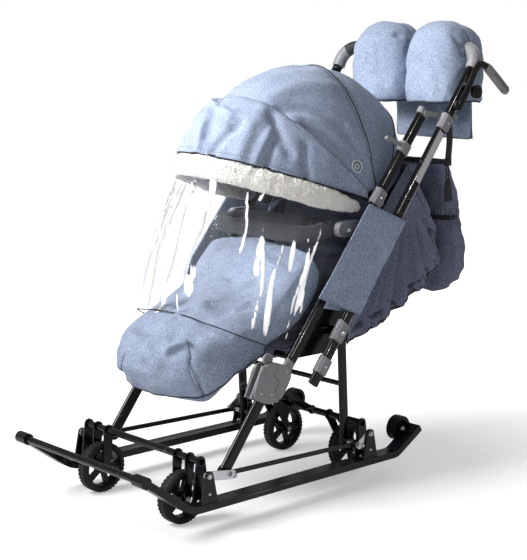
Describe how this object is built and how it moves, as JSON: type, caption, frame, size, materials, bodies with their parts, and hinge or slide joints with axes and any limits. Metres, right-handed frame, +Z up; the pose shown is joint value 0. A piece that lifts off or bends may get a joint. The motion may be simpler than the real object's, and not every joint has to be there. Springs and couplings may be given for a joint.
{
  "type": "sled stroller",
  "caption": "Folding stroller on sled runners with drop-down wheels, swing-over handle, foot muff, canopy, wind film and hand mittens.",
  "frame": {"origin": "on the floor under the middle of the overall box", "axes": "+X to the child's left, -Y to the front, +Z up; the wheels stand on Z = 0"},
  "size_m": [0.4918, 1.1348, 1.065],
  "materials": {
    "runner": "black moulded runner with a worn sheen",
    "black_tube": "gloss black powder coat",
    "zinc": "zinc plated steel",
    "grey_plastic": "grey moulded plastic",
    "black_plastic": "black plastic",
    "tyre": "black foam tyre",
    "blue_linen": "blue-grey melange weave",
    "dark_linen": "darker blue-grey lining weave",
    "fleece": "cream sherpa pile",
    "clear_film": "clear flexible film",
    "bumper_foam": "dark grey foam sleeve",
    "webbing": "black webbing"
  },
  "bodies": {
    "base": {"runner_left": "runner", "runner_right": "runner", "tip_bar": "black_tube", "runner_brackets": "black_tube", "link_plates": "zinc", "tie_bars": "black_tube", "roller_brackets": "black_tube"},
    "roller_wheel_left": {"roller_left": "black_plastic"},
    "roller_wheel_right": {"roller_right": "black_plastic"},
    "front_axle": {"front_cross_tube": "black_tube", "front_forks": "black_tube"},
    "rear_axle": {"rear_cross_tube": "black_tube", "rear_forks": "black_tube", "lift_pedal": "black_tube"},
    "wheel_front_left": {"tyre_front_left": "tyre", "rim_front_left": "black_plastic"},
    "wheel_front_right": {"tyre_front_right": "tyre", "rim_front_right": "black_plastic"},
    "wheel_rear_left": {"tyre_rear_left": "tyre", "rim_rear_left": "black_plastic"},
    "wheel_rear_right": {"tyre_rear_right": "tyre", "rim_rear_right": "black_plastic"},
    "front_legs": {"front_leg_left": "black_tube", "front_leg_right": "black_tube", "lower_housings": "grey_plastic"},
    "rear_legs": {"rear_leg_left": "black_tube", "rear_leg_right": "black_tube", "rear_leg_rod": "black_tube"},
    "upper_frame": {"main_tube_left": "black_tube", "main_tube_right": "black_tube", "upper_housings": "grey_plastic", "side_plates": "black_tube", "frame_rods": "black_tube", "top_catches": "grey_plastic", "frame_fittings": "grey_plastic", "bumper_bar": "bumper_foam", "seat_pan": "dark_linen", "foot_muff": "blue_linen", "side_sleeve_left": "blue_linen", "side_sleeve_right": "blue_linen", "back_skirt": "dark_linen", "rear_bag": "blue_linen", "canopy_rear": "blue_linen", "back_bow": "black_tube"},
    "seat_back": {"backrest": "dark_linen"},
    "handle": {"handle_tube_left": "black_tube", "handle_tube_right": "black_tube", "handle_clamps": "grey_plastic", "handle_grip": "black_plastic", "grip_lever": "grey_plastic", "mitten_left": "blue_linen", "mitten_right": "blue_linen", "bag_strap": "webbing"},
    "canopy_visor": {"visor_bow": "black_tube", "canopy_front": "blue_linen", "fleece_trim": "fleece", "rain_film": "clear_film"},
    "canopy_hood": {"hood_bow": "black_tube", "canopy_middle": "blue_linen"}
  },
  "joints": [
    {"name": "roller_left_spin", "type": "hinge", "parent": "base", "child": "roller_wheel_left", "pos_m": [0.183, 0.246, 0.098], "axis": [1, 0, 0], "continuous": true},
    {"name": "roller_right_spin", "type": "hinge", "parent": "base", "child": "roller_wheel_right", "pos_m": [-0.183, 0.246, 0.098], "axis": [1, 0, 0], "continuous": true},
    {"name": "front_wheels_lift", "type": "hinge", "parent": "base", "child": "front_axle", "pos_m": [0, -0.388, 0.146], "axis": [1, 0, 0], "range_deg": [0, 85]},
    {"name": "rear_wheels_lift", "type": "hinge", "parent": "base", "child": "rear_axle", "pos_m": [0, 0.099, 0.14], "axis": [1, 0, 0], "range_deg": [0, 45]},
    {"name": "front_left_wheel_spin", "type": "hinge", "parent": "front_axle", "child": "wheel_front_left", "pos_m": [0.146, -0.395, 0.0575], "axis": [1, 0, 0], "continuous": true},
    {"name": "front_right_wheel_spin", "type": "hinge", "parent": "front_axle", "child": "wheel_front_right", "pos_m": [-0.146, -0.395, 0.0575], "axis": [1, 0, 0], "continuous": true},
    {"name": "rear_left_wheel_spin", "type": "hinge", "parent": "rear_axle", "child": "wheel_rear_left", "pos_m": [0.115, 0.144, 0.0575], "axis": [1, 0, 0], "continuous": true},
    {"name": "rear_right_wheel_spin", "type": "hinge", "parent": "rear_axle", "child": "wheel_rear_right", "pos_m": [-0.115, 0.144, 0.0575], "axis": [1, 0, 0], "continuous": true},
    {"name": "frame_fold", "type": "hinge", "parent": "base", "child": "front_legs", "pos_m": [0, -0.3215, 0.11], "axis": [1, 0, 0], "range_deg": [0, 58]},
    {"name": "main_frame_fold", "type": "hinge", "parent": "front_legs", "child": "upper_frame", "pos_m": [0, -0.1585, 0.285], "axis": [1, 0, 0], "range_deg": [-87.01, 0]},
    {"name": "rear_legs_fold", "type": "hinge", "parent": "base", "child": "rear_legs", "pos_m": [0, 0.0675, 0.099], "axis": [1, 0, 0], "range_deg": [0, 32.73], "deforming": ["back_skirt"]},
    {"name": "handle_swing", "type": "hinge", "parent": "upper_frame", "child": "handle", "pos_m": [0, -0.0005, 0.374], "axis": [1, 0, 0], "range_deg": [0, 72]},
    {"name": "back_recline", "type": "hinge", "parent": "upper_frame", "child": "seat_back", "pos_m": [0, 0.078, 0.345], "axis": [-1, 0, 0], "range_deg": [0, 15], "deforming": ["canopy_rear"]},
    {"name": "canopy_fold", "type": "hinge", "parent": "upper_frame", "child": "canopy_visor", "pos_m": [0, 0.165, 0.65], "axis": [-1, 0, 0], "range_deg": [0, 60], "deforming": ["rain_film"]},
    {"name": "canopy_hood_fold", "type": "hinge", "parent": "upper_frame", "child": "canopy_hood", "pos_m": [0, 0.165, 0.65], "axis": [-1, 0, 0], "range_deg": [0, 46]}
  ],
  "couplings": [
    {"joint": "main_frame_fold", "follows": "frame_fold", "ratio": -1.483},
    {"joint": "rear_legs_fold", "follows": "frame_fold", "ratio": 0.547},
    {"joint": "canopy_hood_fold", "follows": "canopy_fold", "ratio": 0.75}
  ]
}
